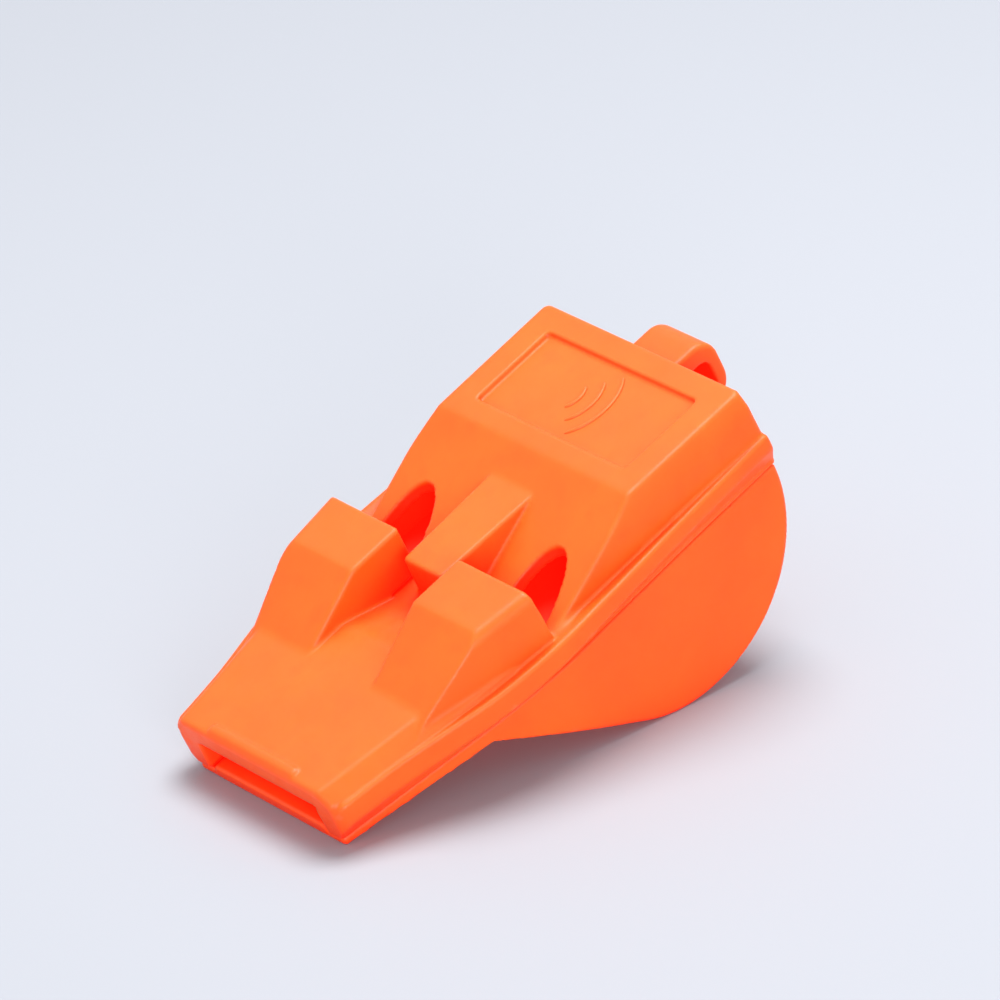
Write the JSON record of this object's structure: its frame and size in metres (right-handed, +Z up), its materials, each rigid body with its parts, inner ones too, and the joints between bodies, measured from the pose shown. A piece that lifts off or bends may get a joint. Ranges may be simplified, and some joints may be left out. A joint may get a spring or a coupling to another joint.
{
  "type": "pealess whistle",
  "caption": "Hand whistle with a flat mouthpiece, paired raised air ducts, arched windows, a drum-shaped lower chamber and a lanyard loop.",
  "frame": {"origin": "centre of the bounding box on the table, with the whistle standing on the lower edge of its mouthpiece and on its drum", "axes": "+X from the mouthpiece to the lanyard loop, +Y across the body, parallel to the lanyard hole, +Z up"},
  "size_m": [0.0514, 0.0304, 0.0263],
  "materials": {
    "shell_plastic": "satin",
    "insert_plastic": "satin"
  },
  "bodies": {
    "root": {"upper_shell": "shell_plastic", "airway_insert": "insert_plastic", "lower_shell": "shell_plastic"}
  },
  "joints": []
}
